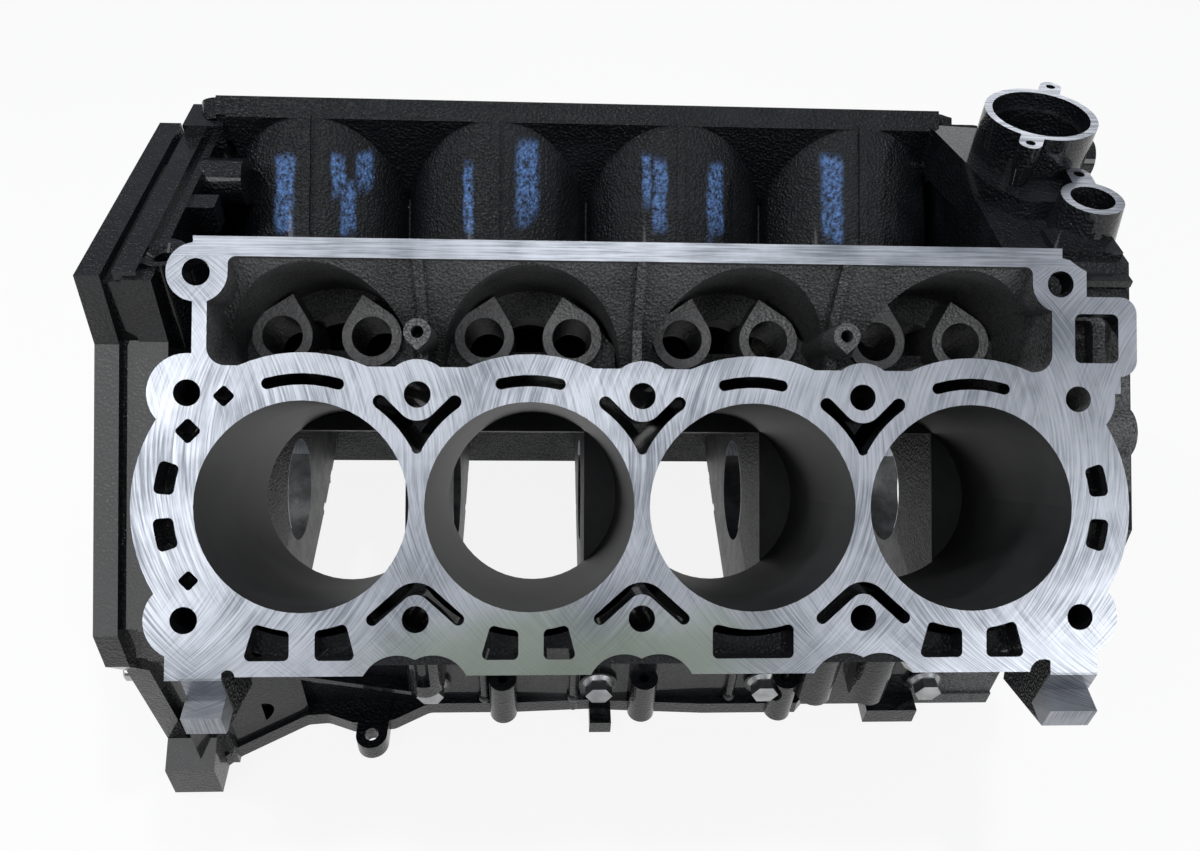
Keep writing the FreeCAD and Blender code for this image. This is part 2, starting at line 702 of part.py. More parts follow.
def front_end():
    """The timing chest, a rim forward of the front bulkhead, and what stands on its roof."""
    chest = prism_x(closed_outline(front_outline(0.0)), bay_end - main_width, front_face)
    bridge = prism_z([(end_bolt - 30, 74), (front_face - 6, 66), (front_face - 6, -17), (end_bolt + 6, -17),
                      (end_bolt - 10, 3), (end_bolt - 24, 66)], 232.0, bridge_z + 12)
    apron = prism_z([(end_bolt + 6, -16), (front_face - 4, -16), (front_face - 4, -58), (end_bolt + 2, -60)],
                    225.0, bridge_z - 4)
    shoulder = block(end_bolt + 14, front_face - 3, -56, -32, 225, 254)
    ledge = block(end_bolt + 18, front_face - 1, -72, -58, 242, 246)
    big = post(*outlet_place, 232, outlet_top, outlet_radius)
    ears = []
    for side in (-1, 1):
        x = outlet_place[0] + side * 41 * math.cos(math.radians(outlet_turn))
        y = outlet_place[1] + side * 41 * math.sin(math.radians(outlet_turn))
        ears.append(slot(outlet_place, (x, y), 13.0, outlet_top - 12, outlet_top))
        ears.append(Part.makeCone(2.0, 6.5, 24.0, V(x, y, outlet_top - 36), Z_AXIS))
    small = Part.makeCone(20.5, 17.5, sensor_top - 245, V(*sensor_place, 245), Z_AXIS)
    foot = post(*sensor_place, 225, 246, 20.5)
    sensor_ear = slot(sensor_place, (sensor_place[0] + 2, sensor_place[1] + 26.5), 13.5,
                      sensor_top - 14, sensor_top)
    spigot_x = outlet_place[0] - 5
    spigot = Part.makeCylinder(12.0, 40.0, V(spigot_x, 34, 262), X_AXIS)
    spigot_foot = block(spigot_x, spigot_x + 30, 24, 44, 245, 262)
    pieces = [chest, bridge, apron, shoulder, ledge, big, small, foot, sensor_ear, spigot, spigot_foot] + ears
    for side in (-1, 1):
        pieces.append(Part.makeCylinder(15.0, 27.0, V(front_face - 27, side * 121, 178), X_AXIS))
    pieces += [Part.makeCylinder(dowel / 2 + 4.5, 24.0, V(front_face - 24, y, z), X_AXIS)
               for y, z in chest_dowel_places]
    return pieces


def front_space():
    """The inside of the timing chest, the outlet bores and the ear holes."""
    hollow = prism_x(closed_outline(front_outline(front_rim)[:-1] + [(114, pan_rail_z - 1)]),
                     bay_end, front_face + 1)
    roof = block(bay_end - 1, front_face - 8, -70, 75, 226, 300)
    cuts = [hollow.cut(roof),
            post(*outlet_place, outlet_top - 10, outlet_top + 1, outlet_radius - 4.5),
            post(*outlet_place, outlet_top - 34, outlet_top - 9, outlet_radius - 7.5),
            post(*sensor_place, sensor_top - 38, sensor_top + 1, 12.3),
            post(sensor_place[0] + 2, sensor_place[1] + 26.5, sensor_top - 13, sensor_top + 1, 3.2)]
    for side in (-1, 1):
        x = outlet_place[0] + side * 41 * math.cos(math.radians(outlet_turn))
        y = outlet_place[1] + side * 41 * math.sin(math.radians(outlet_turn))
        cuts.append(post(x, y, outlet_top - 20, outlet_top + 1, 2.8))
    return cuts


def side_details():
    """Bosses on the skirt, and the stepped locating pads below each end of the deck."""
    pieces = []
    for x in main_places:
        pieces.append(Part.makeCylinder(side_boss, side_boss_height + 2,
                                        V(x, -skirt_outer + 2, side_bolt_z), V(0, -1, 0)))
    for x in socket_places:
        pieces.append(post(x, -skirt_outer - 5, pan_rail_z + 2, socket_top, socket_radius))
    for x in wall_ribs:
        pieces.append(post(x, -skirt_outer - 1, pan_rail_z + 2, 10.0, wall_rib_radius))
        pieces.append(Part.makeSphere(wall_rib_radius + 1.5, V(x, -skirt_outer - 1, pan_rail_z + 16)))
    left = -end_bolt + 26
    right = left + 76
    ledge = [(left, -32.0), (right, -53.0), (right, -57.0), (left, -36.5)]
    pieces.append(polygon([V(x, -skirt_outer - 10, z) for x, z in ledge]).extrude(V(0, 12, 0)))
    for x, foot in pillars:
        pieces.append(post(x, -skirt_outer - 8, foot, pillar_top, pillar_radius))
        pieces.append(block(x - pillar_radius, x + pillar_radius, -skirt_outer - 8, -skirt_outer + 2,
                            foot, pillar_top))
    step = [(-234.8, 111.7), (-234.8, 98.2), (-248.0, 98.2), (-248.0, 84.0), (-205.0, 62.0), (-190.0, 90.0),
            (-200.0, 146.0)]
    for x0, x1 in ((-end_bolt + 11, -end_bolt + 31), (end_bolt - 4, end_bolt + 21)):
        pieces.append(prism_x(step, x0, x1))
    return pieces


def side_holes():
    cuts = []
    for x in main_places:
        for side in (-1, 1):
            cuts.append(Part.makeCylinder(side_bolt / 2 + 0.5, 30, V(x, side * (skirt_inner - 5), side_bolt_z),
                                          V(0, side, 0)))
            cuts.append(Part.makeCylinder(side_bolt_flange / 2 + 0.6, 20,
                                          V(x, side * (skirt_outer + side_boss_height), side_bolt_z),
                                          V(0, side, 0)))
            for y in (cap_bolt_inner, cap_bolt_outer):
                cuts.append(post(x, side * y, -1, cap_bolt_depth, cap_bolt / 2))
            cuts.append(post(x, side * cap_bolt_inner, -1, dowel_depth, cap_dowel / 2 + fit_gap / 2))
            cuts.append(post(x, side * cap_bolt_outer, -1, 3, cap_bolt / 2 + 1))
    for x in socket_places:
        cuts.append(post(x, -skirt_outer - 5, socket_top - 16, socket_top + 1, 3.4))
    cuts.append(post(pillars[0][0], -skirt_outer - 8 - pillar_radius, pillars[0][1] + 12, pillar_top + 1, 4.5))
    cuts.append(post(*sump_tab, pan_rail_z, pan_rail_z + 20, tab_hole / 2))
    return cuts


def core_plug_holes():
    return [Part.makeCylinder(core_plug / 2, 14, V(x, bank_side_low - 2, core_plug_level), Y_AXIS)
            for x in bore_places]


def build_casting():
    parts = both_banks(bank_solid())
    parts += crankcase() + sump_rail() + rear_end() + flange_bosses() + front_end()
    for detail in side_details():
        parts += both_sides(detail)
    casting = merge(parts)
    cuts = []
    for shape in bank_cuts() + core_plug_holes():
        cuts += both_banks(shape)
    cuts += crankcase_space() + rear_space() + front_space()
    for hole in side_holes():
        cuts.append(hole)
    length = front_face - rear_face + 10
    cuts.append(Part.makeCylinder(main_bore / 2, length, V(rear_face - 5, 0, 0), X_AXIS))
    cuts.append(Part.makeCylinder(cam_bore / 2, length, V(rear_face - 5, 0, cam_height), X_AXIS))
    return casting.cut(cuts)


# ---------------------------------------------------------------- fitted pieces

def hexagon_head(flats, height):
    radius = flats / math.sqrt(3)
    corners = [(radius * math.cos(math.radians(60 * k)), radius * math.sin(math.radians(60 * k)))
               for k in range(6)]
    return prism_z(corners, 0, height)


def flange_bolt(size, grip, flats, flange):
    """A hex flange bolt with its shank up +Z and its seat at the origin."""
    shank = post(0, 0, 0, grip, size / 2 - bolt_gap)
    collar = Part.makeCone(flange / 2 - 2, flange / 2, 2.5, V(0, 0, -2.5), Z_AXIS)
    head = hexagon_head(flats, size * 0.75)
    head.translate(V(0, 0, -2.4 - size * 0.75))
    return merge([shank, collar, head])


def main_cap(x):
    half = skirt_inner - fit_gap
    profile = [(half, 0), (half, -cap_depth + 4), (half - 4, -cap_depth), (48, -cap_depth - 4),
               (-48, -cap_depth - 4), (-half + 4, -cap_depth), (-half, -cap_depth + 4), (-half, 0)]
    thick = main_width / 2 - 0.5
    cap = prism_x(profile, x - thick, x + thick)
    cuts = [Part.makeCylinder(main_bore / 2, 60, V(x - 30, 0, 0), X_AXIS)]
    for side in (-1, 1):
        for y in (cap_bolt_inner, cap_bolt_outer):
            cuts.append(post(x, side * y, -cap_depth - 5, 1, cap_bolt / 2 + 0.5))
            cuts.append(post(x, side * y, -cap_depth - 6, -cap_depth, cap_bolt_flange / 2 + 0.6))
        cuts.append(post(x, side * cap_bolt_inner, -dowel_depth, 1, cap_dowel / 2 + fit_gap / 2))
        cuts.append(Part.makeCylinder(side_bolt / 2, side_bolt_reach, V(x, side * (half + 1), side_bolt_z),
                                      V(0, -side, 0)))
    return cap.cut(cuts)


def cap_bolts(offset):
    bolts = []
    grip = cap_depth + cap_bolt_depth - 4
    for x in main_places:
        for side in (-1, 1):
            bolt = flange_bolt(cap_bolt, grip, 18.0, cap_bolt_flange)
            bolt.translate(V(x, side * offset, -cap_depth))
            bolts.append(bolt)
    return bolts


def side_bolts():
    bolts = []
    seat = skirt_outer + side_boss_height
    for x in main_places:
        for side in (-1, 1):
            bolt = flange_bolt(side_bolt, seat - skirt_inner + side_bolt_reach - 4, 16.0, side_bolt_flange)
            bolt.rotate(ORIGIN, X_AXIS, side * 90)
            bolt.translate(V(x, side * seat, side_bolt_z))
            bolts.append(bolt)
    return bolts


def cam_bearing(x):
    start = V(x - main_width / 2 + 2, 0, cam_height)
    outer = Part.makeCylinder(cam_bore / 2 - fit_gap / 2, main_width - 4, start, X_AXIS)
    return outer.cut(Part.makeCylinder(cam_bore / 2 - cam_bearing_wall, 60, V(x - 30, 0, cam_height), X_AXIS))


def cup_plug(radius, depth, wall):
    """A pressed cup plug, closed face at the origin and mouth towards +Z."""
    return post(0, 0, 0, depth, radius - fit_gap / 2).cut(post(0, 0, wall, depth + 1, radius - wall))


def core_plugs():
    plugs = []
    for x in bore_places:
        plug = cup_plug(core_plug / 2, 8.0, 1.8)
        plug.rotate(ORIGIN, X_AXIS, 90)
        plug.translate(V(x, bank_side_low + 9.0, core_plug_level))
        plugs += both_banks(plug)
    return plugs


def cam_plug():
    plug = cup_plug(cam_bore / 2, 10.0, 2.0)
    plug.rotate(ORIGIN, Y_AXIS, -90)
    plug.translate(V(rear_wall_back + 12, 0, cam_height))
    return plug


def end_dowels(face, outward, places, seat, proud):
    """Dowels seated in an end face, with a slimmer free end and a chamfer; outward is the face's side."""
    free = dowel_free / 2
    axis = V(outward, 0, 0)
    chamfer_at = face + outward * (proud - dowel_chamfer)
    dowels = []
    for y, z in places:
        start = V(face - outward * seat, y, z)
        seated = Part.makeCylinder(dowel / 2 - fit_gap / 2, seat + dowel_collar, start, axis)
        shank = Part.makeCylinder(free, proud - dowel_chamfer, V(face, y, z), axis)
        nose = Part.makeCone(free, free - dowel_chamfer, dowel_chamfer, V(chamfer_at, y, z), axis)
        dowels.append(merge([seated, shank, nose]))
    return dowels


def cap_dowels():
    """Hollow ring dowels round the inner cap bolts, half in the block and half in the cap."""
    rings = []
    for x in main_places:
        for side in (-1, 1):
            ring = post(x, side * cap_bolt_inner, 0.2 - dowel_depth, dowel_depth - 0.2, cap_dowel / 2)
            rings.append(ring.cut(post(x, side * cap_bolt_inner, -9, 9, cap_bolt / 2 + 0.4)))
    return rings


def screw_plug(radius, depth):
    """A threaded plug with a hexagon socket, outer face at the origin, body up +Z."""
    return post(0, 0, 0, depth, radius - fit_gap / 2).cut(hexagon_head(radius * 0.9, depth * 0.5))


def write(name, shapes):
    shape = shapes[0] if len(shapes) == 1 else Part.makeCompound(shapes)
    shape.exportStep(os.path.join("parts", name + ".step"))
    print(name, len(shape.Solids), shape.isValid(), round(shape.Volume / 1000, 1))


def gallery_plugs():
    plugs = []
    for y, z in gallery_plug_places:
        plug = screw_plug(gallery_plug / 2, 12.0)
        plug.rotate(ORIGIN, Y_AXIS, 90)
        plug.translate(V(rear_wall_back + 0.5, y, z))
        plugs.append(plug)
    return plugs


def main():
    os.makedirs("parts", exist_ok=True)
    write("cylinder_block", [build_casting()])
    for number, x in enumerate(main_places, 1):
        write("main_cap_%d" % number, [main_cap(x)])
        write("cam_bearing_%d" % number, [cam_bearing(x)])
    write("main_cap_inner_bolts", cap_bolts(cap_bolt_inner))
    write("main_cap_outer_bolts", cap_bolts(cap_bolt_outer))
    write("main_cap_dowels", cap_dowels())
    write("side_bolts", side_bolts())
    write("core_plugs", core_plugs())
    write("cam_plug", [cam_plug()])
    write("gallery_plugs", gallery_plugs())
    write("flywheel_end_dowels", end_dowels(rear_face, -1, flange_dowel_places, flywheel_dowel_seat,
                                            flywheel_dowel_proud))
    write("timing_end_dowels", end_dowels(front_face, 1, chest_dowel_places, timing_dowel_seat,
                                          timing_dowel_proud))


main()
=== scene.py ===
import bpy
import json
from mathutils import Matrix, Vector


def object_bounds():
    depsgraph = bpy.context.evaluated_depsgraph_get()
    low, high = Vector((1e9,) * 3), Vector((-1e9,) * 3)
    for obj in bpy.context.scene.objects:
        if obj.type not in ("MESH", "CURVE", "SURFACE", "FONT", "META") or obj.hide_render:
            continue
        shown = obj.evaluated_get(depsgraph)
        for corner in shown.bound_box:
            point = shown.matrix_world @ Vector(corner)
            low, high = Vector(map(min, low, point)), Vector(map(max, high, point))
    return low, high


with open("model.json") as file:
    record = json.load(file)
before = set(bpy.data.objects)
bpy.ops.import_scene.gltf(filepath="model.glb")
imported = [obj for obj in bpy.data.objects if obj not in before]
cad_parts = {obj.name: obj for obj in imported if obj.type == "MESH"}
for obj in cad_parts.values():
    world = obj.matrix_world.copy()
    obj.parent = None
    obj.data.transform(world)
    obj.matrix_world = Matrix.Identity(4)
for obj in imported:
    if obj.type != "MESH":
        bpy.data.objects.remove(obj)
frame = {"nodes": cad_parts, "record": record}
cadBox = [list(corner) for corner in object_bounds()]

import json
import math

import bpy
from mathutils import Vector

half = math.sqrt(0.5)                       # sine and cosine of the 45 degree bank angle
hair = 0.0006                               # how far past a face its finish still counts

# Places on the block that a finish starts or ends at, in metres from the crankshaft axis.
block = {"pitch": 0.115, "stagger": 0.012, "deck": 0.245, "bore": 0.0536, "boreFoot": 0.099,
         "mainBore": 0.037, "galleryLow": 0.0698, "galleryHigh": 0.1272, "galleryFoot": 0.09,
         "galleryEnd": 0.222, "valleyWall": 0.0745, "vaultAxis": 0.076, "vaultMiddle": 0.055,
         "bossTop": 0.1745, "rail": 0.1262, "skirt": 0.1185, "bayTop": 0.104, "bayEnd": 0.2427,
         "rearFace": -0.2797, "frontFace": 0.2847, "sumpFace": -0.0887, "outletFace": 0.2877,
         "sensorFace": (0.2685, 0.2692), "spouts": 0.2, "chestHalf": 0.15, "chestTop": 0.236,
         "chest": (0.2424, 0.2846), "rearPad": (-0.2195, -0.1985), "frontPad": (0.2255, 0.2515),
         "padSide": 0.2335, "padLevel": (0.083, 0.1125)}


# Shader helpers: a socket that takes part in plain maths, and one call for any other node.

class Wire:
    def __init__(self, graph, socket):
        self.graph = graph
        self.socket = socket

    def maths(self, operation, *values):
        return self.graph.add("ShaderNodeMath", {"operation": operation}, values)

    def __add__(self, other):
        return self.maths("ADD", self, other)

    __radd__ = __add__

    def __sub__(self, other):
        return self.maths("SUBTRACT", self, other)

    def __rsub__(self, other):
        return self.maths("SUBTRACT", other, self)

    def __mul__(self, other):
        return self.maths("MULTIPLY", self, other)

    __rmul__ = __mul__

    def __pow__(self, other):
        return self.maths("POWER", self, other)

    def __mod__(self, other):
        return self.maths("FLOORED_MODULO", self, other)

    def __gt__(self, other):
        return self.maths("GREATER_THAN", self, other)

    def __lt__(self, other):
        return self.maths("LESS_THAN", self, other)

    def __abs__(self):
        return self.maths("ABSOLUTE", self)


class Graph:
    def __init__(self, tree):
        self.tree = tree
        tree.nodes.clear()
        place = self.add("ShaderNodeTexCoord", output="Object")
        self.place = place
        self.x, self.y, self.z = self.split(place)
        self.normal = self.add("ShaderNodeNewGeometry", output="True Normal")

    def add(self, kind, settings=None, inputs=(), output=0):
        node = self.tree.nodes.new(kind)
        for name, value in (settings or {}).items():
            setattr(node, name, value)
        pairs = inputs.items() if isinstance(inputs, dict) else enumerate(inputs)
        for key, value in pairs:
            if isinstance(value, Wire):
                self.tree.links.new(value.socket, node.inputs[key])
            else:
                node.inputs[key].default_value = value
        return Wire(self, node.outputs[output])

    def split(self, vector):
        node = self.tree.nodes.new("ShaderNodeSeparateXYZ")
        self.tree.links.new(vector.socket, node.inputs[0])
        return [Wire(self, socket) for socket in node.outputs]

    def join(self, x, y, z=0.0):
        return self.add("ShaderNodeCombineXYZ", inputs=(x, y, z))

    def mix(self, factor, first, second):
        return self.add("ShaderNodeMix", {"data_type": "RGBA"}, {0: factor, 6: first, 7: second}, 2)

    def blend(self, factor, first, second):
        return self.add("ShaderNodeMix", {"data_type": "FLOAT"}, {0: factor, 2: first, 3: second}, 0)

    def noise(self, vector, scale, detail=2.0, rough=0.5):
        return self.add("ShaderNodeTexNoise", inputs={"Vector": vector, "Scale": scale, "Detail": detail,
                                                      "Roughness": rough})

    def cells(self, vector, scale):
        return self.add("ShaderNodeTexVoronoi", {"feature": "F1"}, {"Vector": vector, "Scale": scale})

    def ease(self, value, low, high, first=0.0, last=1.0):
        return self.add("ShaderNodeMapRange", {"interpolation_type": "SMOOTHSTEP"},
                        {"Value": value, "From Min": low, "From Max": high, "To Min": first, "To Max": last})

    def larger(self, first, *others):
        for other in others:
            first = self.add("ShaderNodeMath", {"operation": "MAXIMUM"}, (first, other))
        return first

    def within(self, value, low, high):
        return (value > low) * (value < high)

    def facing(self, x, y, z, least=0.97):
        return self.add("ShaderNodeVectorMath", {"operation": "DOT_PRODUCT"},
                        (self.normal, (x, y, z)), "Value") > least

    def radius(self, first, second):
        return (first * first + second * second) ** 0.5

    def bump(self, height, distance, strength=1.0, normal=None):
        inputs = {"Strength": strength, "Distance": distance, "Height": height}
        if normal:
            inputs["Normal"] = normal
        return self.add("ShaderNodeBump", inputs=inputs)


def newMaterial(name):
    material = bpy.data.materials.new(name)
    material.use_nodes = True
    return material, Graph(material.node_tree)


def finishMaterial(graph, fixed, **varying):
    shader = graph.tree.nodes.new("ShaderNodeBsdfPrincipled")
    output = graph.tree.nodes.new("ShaderNodeOutputMaterial")
    graph.tree.links.new(shader.outputs[0], output.inputs[0])
    for name, value in fixed.items():
        shader.inputs[name].default_value = value
    for name, value in varying.items():
        graph.tree.links.new(value.socket, shader.inputs[name.replace("_", " ")])


# The casting: gloss black outside, raw iron inside, bright where it is machined.

paint = {"black": (0.0045, 0.0052, 0.0066, 1), "worn": (0.011, 0.0125, 0.0155, 1), "rough": (0.31, 0.48),
         "coat": 0.62, "coatRough": 0.07, "specular": 0.16, "grain": 560.0, "fineGrain": 336.0,
         "fineShare": 0.6, "grainDepth": 0.0009, "swell": 110.0, "swellDepth": 0.0008, "cloud": 22.0}
# The lifter boss tops get a lighter colour, a painted highlight of light falling on their upward faces.
rawIron = {"dark": (0.03, 0.031, 0.032, 1), "light": (0.16, 0.163, 0.165, 1), "top": (0.4, 0.4, 0.4, 1),
           "topShare": 0.7, "rough": 0.5, "metal": 0.3, "grain": 900.0, "grainShare": 0.7}
# The pad colour is a painted shade: the sideways-facing locating pads are darkened against the bright deck.
milled = {"light": (0.60, 0.63, 0.69, 1), "dark": (0.21, 0.23, 0.265, 1), "paintedPadShade": (0.1, 0.1, 0.1, 1),
          "paintedPadShadeShare": 0.42, "rough": (0.42, 0.34), "cutter": 0.128, "cutterMiddle": 0.022, "pitch": 850.0,
          "stretch": 26.0, "patch": 16.0, "streakShare": 0.6, "depth": 0.00005}
lowEdgeTint = {"colour": (0.29, 0.34, 0.25, 1), "share": 0.7, "swirl": 18.0, "wander": 0.05, "middle": -0.035,
        "edge": (-0.075, -0.045), "reach": (0.05, 0.13)}
# Painted shade: the cylinder walls get a near-black colour and no metal, standing in for the shade inside the
# bores; the roughness is the honed finish.
honedAndShaded = {"dark": (0.022, 0.023, 0.024, 1), "light": (0.04, 0.041, 0.043, 1), "rough": 0.45}

# Each chalk mark is its middle along the crank, half its width, and its low and high end.
chalk = {"colour": (0.11, 0.23, 0.52, 1), "share": 0.9, "swirl": 55.0, "wander": 0.010, "across": 420.0,
         "upright": 60.0, "lowEnd": 0.004, "highEnd": 0.003,
         "marks": ((-0.198, 0.006, 0.210, 0.243), (-0.160, 0.0045, 0.208, 0.229),
                   (-0.166, 0.0045, 0.226, 0.244), (-0.151, 0.005, 0.226, 0.241),
                   (-0.086, 0.0032, 0.210, 0.241), (-0.050, 0.007, 0.217, 0.250),
                   (0.0245, 0.003, 0.224, 0.245), (0.033, 0.0045, 0.214, 0.244),
                   (0.068, 0.0055, 0.209, 0.241), (0.142, 0.0065, 0.208, 0.247))}


def bankPlace(graph, side):                 # side is -1 for the near bank and 1 for the far one
    along = graph.x + side * block["stagger"]
    across = (graph.z - side * graph.y) * half
    up = (graph.z + side * graph.y) * half
    return along, across, up


def fromCylinder(along):                    # distance along the crank from the nearest cylinder's axis
    pitch = block["pitch"]
    return (along + 2 * pitch) % pitch - pitch / 2


def milledDeck(graph, side):
    along, across, up = bankPlace(graph, side)
    level = graph.within(up, block["deck"] - hair, block["deck"] + hair)
    return level * graph.facing(0, side * half, half)


def cylinderWall(graph, side):
    along, across, up = bankPlace(graph, side)
    wall = graph.radius(fromCylinder(along), across) < block["bore"] + 0.0004
    return wall * graph.within(up, block["boreFoot"], block["deck"] - 0.0002) \
        * (abs(along) < 2 * block["pitch"])


def galleryInside(graph, side):
    along, across, up = bankPlace(graph, side)
    vault = graph.radius(fromCylinder(along), across - block["vaultAxis"]) < block["vaultMiddle"]
    wall = graph.y * side > block["valleyWall"]
    inside = graph.larger(vault, wall) * (across > block["galleryLow"]) * (across < block["galleryHigh"])
    return inside * graph.within(up, block["galleryFoot"], block["deck"] - hair) \
        * (abs(along) < block["galleryEnd"])


def bossTop(graph, side):
    along, across, up = bankPlace(graph, side)
    level = graph.within(up, block["bossTop"], block["bossTop"] + 0.001)
    return level * graph.facing(0, side * half, half)


def machinedFaces(graph):
    x, y, z = graph.x, graph.y, graph.z
    rear = (x < block["rearFace"]) * graph.facing(-1, 0, 0)
    front = (x > block["frontFace"]) * graph.facing(1, 0, 0)
    under = (z < block["sumpFace"]) * graph.facing(0, 0, -1)
    saddles = (graph.radius(y, z) < block["mainBore"] + hair) * (abs(x) < block["bayEnd"] + 0.001)
    rings = graph.larger(z > block["outletFace"], graph.within(z, *block["sensorFace"]))
    return graph.larger(rear, front, under, saddles, rings * graph.facing(0, 0, 1) * (x > block["spouts"]))


def locatingPads(graph):
    ends = graph.within(graph.x, *block["rearPad"]) + graph.within(graph.x, *block["frontPad"])
    return (abs(graph.y) > block["padSide"]) * graph.within(graph.z, *block["padLevel"]) * ends


def millingStreaks(graph, side):            # crossing arcs of a face cutter, and straight cuts on the rail
    along, across, up = bankPlace(graph, side)
    offset = across - milled["cutterMiddle"]
    reach = graph.larger(milled["cutter"] ** 2 - offset * offset, 0.0) ** 0.5
    pitch, stretch = milled["pitch"], milled["stretch"]
    first = graph.noise(graph.join((along + reach) * pitch, across * stretch, 0.0), 1.0, 3.0, 0.6)
    second = graph.noise(graph.join((along - reach) * pitch, across * stretch, 4.0), 1.0, 3.0, 0.6)
    share = graph.ease(graph.noise(graph.place, milled["patch"], 2.0), 0.40, 0.62)
    arcs = graph.blend(share, first, second)
    straight = graph.noise(graph.join(along * stretch, across * pitch, 8.0), 1.0, 3.0, 0.6)
    return graph.blend(across > block["rail"], arcs, straight)


def deckLowEdgeTint(graph, side):                  # a darker green-grey tint along the middle of the lower edge
    along, across, up = bankPlace(graph, side)
    wander = (graph.noise(graph.place, lowEdgeTint["swirl"], 3.0) - 0.5) * lowEdgeTint["wander"]
    low = graph.ease(across + wander, *lowEdgeTint["edge"], 1.0, 0.0)
    return low * graph.ease(abs(along + wander - lowEdgeTint["middle"]), *lowEdgeTint["reach"], 1.0, 0.0)


def chalkMarks(graph):
    wander = (graph.noise(graph.place, chalk["swirl"], 3.0) - 0.5) * chalk["wander"]
    fine, slow = chalk["across"], chalk["upright"]
    strokes = graph.noise(graph.join(graph.x * fine, graph.y * fine, graph.z * slow), 1.0, 3.0, 0.6)
    rubbed = graph.ease(strokes, 0.28, 0.72) * chalk["share"]
    height = graph.z + wander
    marks = []
    for middle, reach, low, high in chalk["marks"]:
        across = graph.ease(abs(graph.x + wander * 0.6 - middle), reach * 0.55, reach * 1.25, 1.0, 0.0)
        foot = graph.ease(height, low - chalk["lowEnd"], low + chalk["lowEnd"])
        head = graph.ease(height, high - chalk["highEnd"], high + chalk["highEnd"], 1.0, 0.0)
        marks.append(across * foot * head)
    farVault = (graph.y > 0.0) * graph.facing(0, -half, half, 0.3)
    return graph.larger(*marks) * rubbed * farVault


def castingMaterial():
    material, graph = newMaterial("castingFinish")
    x, y, z = graph.x, graph.y, graph.z
    decks = graph.larger(milledDeck(graph, -1), milledDeck(graph, 1))
    walls = graph.larger(cylinderWall(graph, -1), cylinderWall(graph, 1))
    galleries = graph.larger(galleryInside(graph, -1), galleryInside(graph, 1))
    paintedLitBossTops = graph.larger(bossTop(graph, -1), bossTop(graph, 1))
    bays = (abs(y) < block["skirt"]) * (z < block["bayTop"]) * (abs(x) < block["bayEnd"] + 0.0003)
    chest = (abs(y) < block["chestHalf"]) * (z < block["chestTop"]) * graph.within(x, *block["chest"])
    raw = graph.larger(galleries, bays, chest)
    pads = locatingPads(graph)
    bright = graph.larger(decks, machinedFaces(graph), pads)
    lowEdgeTinted = decks * graph.blend(y > 0.0, deckLowEdgeTint(graph, -1), 0.0)

    grain = graph.cells(graph.place, paint["grain"]) \
        + paint["fineShare"] * graph.noise(graph.place, paint["fineGrain"], 3.0)
    swell = graph.noise(graph.place, paint["swell"], 2.0)
    streaks = graph.blend(y > 0.0, millingStreaks(graph, -1), millingStreaks(graph, 1))
    cloud = graph.noise(graph.place, paint["cloud"], 4.0, 0.6)

    black = graph.mix(graph.ease(cloud, 0.5, 0.75), paint["black"], paint["worn"])
    black = graph.mix(chalkMarks(graph), black, chalk["colour"])
    speckle = graph.noise(graph.place, rawIron["grain"], 3.0, 0.7) * rawIron["grainShare"] \
        + cloud * (1 - rawIron["grainShare"])
    iron = graph.mix(graph.ease(speckle, 0.36, 0.64), rawIron["dark"], rawIron["light"])
    # painted highlight: the lifter boss tops are lightened toward a light grey
    iron = graph.mix(paintedLitBossTops * rawIron["topShare"], iron, rawIron["top"])
    cuts = streaks * milled["streakShare"] + cloud * (1 - milled["streakShare"])
    silver = graph.mix(graph.ease(cuts, 0.34, 0.62), milled["dark"], milled["light"])
    silver = graph.mix(lowEdgeTinted * lowEdgeTint["share"], silver, lowEdgeTint["colour"])
    # painted shade: the machined locating pads are darkened
    silver = graph.mix(pads * milled["paintedPadShadeShare"], silver, milled["paintedPadShade"])
    # painted shade: near-black cylinder walls in place of the shade inside the bores
    paintedBoreShade = graph.mix(graph.ease(cloud, 0.25, 0.75), honedAndShaded["dark"], honedAndShaded["light"])
    colour = graph.mix(raw, black, iron)
    colour = graph.mix(walls, colour, paintedBoreShade)
    colour = graph.mix(bright, colour, silver)

    rough = graph.blend(raw, graph.ease(cloud, 0.3, 0.8, *paint["rough"]), rawIron["rough"])
    rough = graph.blend(walls, rough, honedAndShaded["rough"])
    rough = graph.blend(bright, rough, graph.ease(streaks, 0.3, 0.7, *milled["rough"]))
    metal = graph.larger(bright, raw * (1 - walls) * rawIron["metal"])
    clear = (1 - graph.larger(raw, walls, bright)) * paint["coat"]

    soft = graph.bump(swell, paint["swellDepth"])
    castNormal = graph.bump(grain, paint["grainDepth"], 1.0, soft)
    cutNormal = graph.bump(streaks, milled["depth"])
    smooth = graph.larger(bright, walls)
    normal = graph.add("ShaderNodeMix", {"data_type": "VECTOR"}, {0: smooth, 4: castNormal, 5: cutNormal}, 1)
    finishMaterial(graph, {"Coat Roughness": paint["coatRough"], "Specular IOR Level": paint["specular"]},
                   Base_Color=colour, Roughness=rough, Metallic=metal, Coat_Weight=clear, Normal=normal)
    return material


# The fitted pieces.

